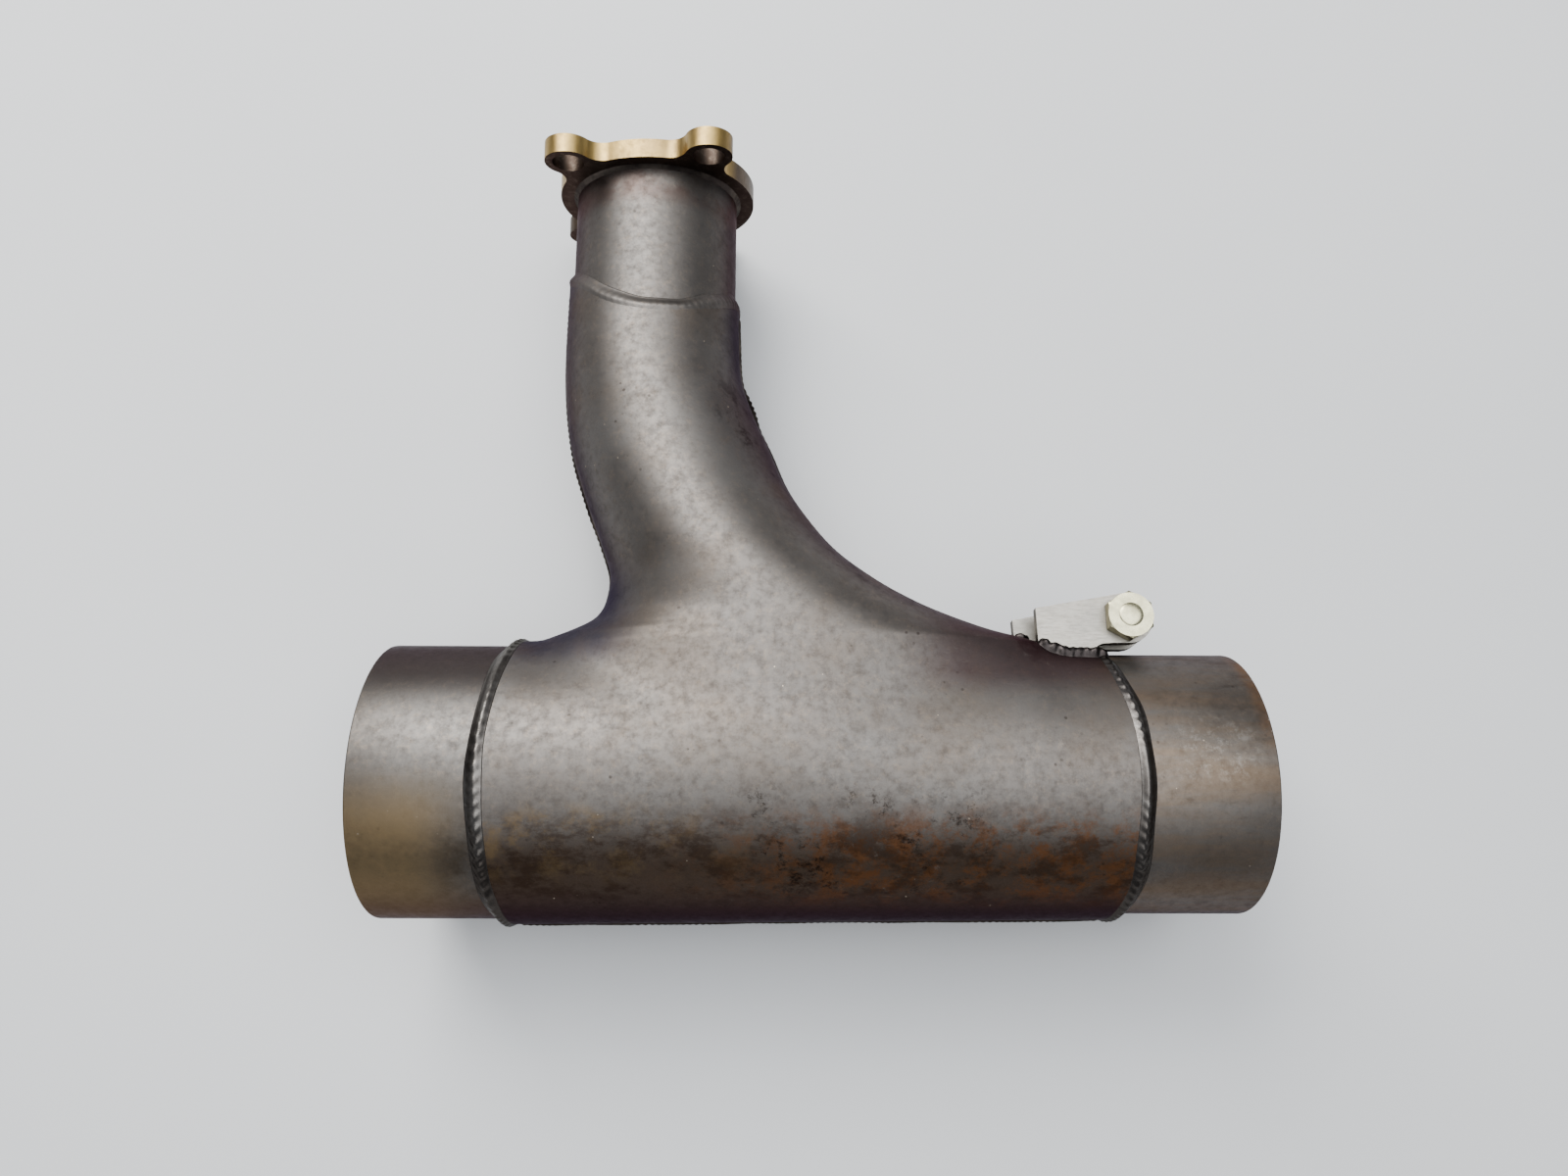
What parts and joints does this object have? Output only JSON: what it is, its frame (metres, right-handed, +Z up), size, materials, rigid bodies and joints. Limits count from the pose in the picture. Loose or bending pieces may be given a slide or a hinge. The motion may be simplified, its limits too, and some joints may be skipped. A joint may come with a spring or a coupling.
{
  "type": "exhaust tee",
  "caption": "Welded stainless exhaust tee for a flat piston engine: straight run with a slip sleeve and spigot, swept riser with an eared port flange, and a bolted clevis",
  "frame": {"origin": "on the run axis, in the plane of the slip sleeve's open end", "axes": "+X along the run from the sleeve to the spigot, +Y along the riser to the port flange, +Z up from the plane where the two half shells meet; the part lies on its lower shell"},
  "size_m": [0.2181, 0.2118, 0.0742],
  "materials": {
    "sleeve_steel": "heat-tinted stainless steel, satin, straw to bronze",
    "spigot_steel": "heat-tinted stainless steel, satin, grey with brown streaks",
    "shell_steel": "heat-tinted stainless steel, satin, grey with brown and purple tint and rust spots",
    "neck_steel": "heat-tinted stainless steel, satin, brown-grey",
    "flange_steel": "machined stainless steel, satin, straw tint on the rim",
    "weld_steel": "weld metal, rippled and oxidised",
    "ear_steel": "stainless steel sheet, satin, clean",
    "bolt_plating": "plated steel, semi-gloss, pale yellowish silver",
    "nut_plating": "plated steel, semi-gloss, pale silver"
  },
  "bodies": {
    "tee": {"slip_sleeve": "sleeve_steel", "slip_spigot": "spigot_steel", "shell_near": "shell_steel", "shell_far": "shell_steel", "neck_tube": "neck_steel", "flange": "flange_steel", "seam_weld_bottom": "weld_steel", "seam_weld_outer": "weld_steel", "seam_weld_inner": "weld_steel", "girth_weld_sleeve": "weld_steel", "girth_weld_spigot": "weld_steel", "neck_weld": "weld_steel", "flange_weld": "weld_steel", "clevis_ear_near": "ear_steel", "clevis_ear_far": "ear_steel", "ear_weld_near": "weld_steel", "ear_weld_far": "weld_steel", "ear_weld_tab": "weld_steel"},
    "washer": {"nut_washer": "nut_plating"},
    "nut": {"lock_nut": "nut_plating"},
    "bolt": {"clevis_bolt": "bolt_plating"}
  },
  "joints": [
    {"name": "nut_travel", "type": "slide", "parent": "tee", "child": "washer", "axis": [0, -0.0872, -0.9962], "range_m": [0, 0.007]},
    {"name": "nut_turn", "type": "hinge", "parent": "washer", "child": "nut", "pos_m": [0.1905, 0.04018, 0.00025], "axis": [0, -0.0872, -0.9962], "range_deg": [0, 2700]},
    {"name": "bolt_lift", "type": "slide", "parent": "tee", "child": "bolt", "axis": [0, 0.0872, 0.9962], "range_m": [0, 0.022]}
  ],
  "couplings": [
    {"joint": "nut_travel", "follows": "nut_turn", "m_per_rad": 0.00014438}
  ]
}
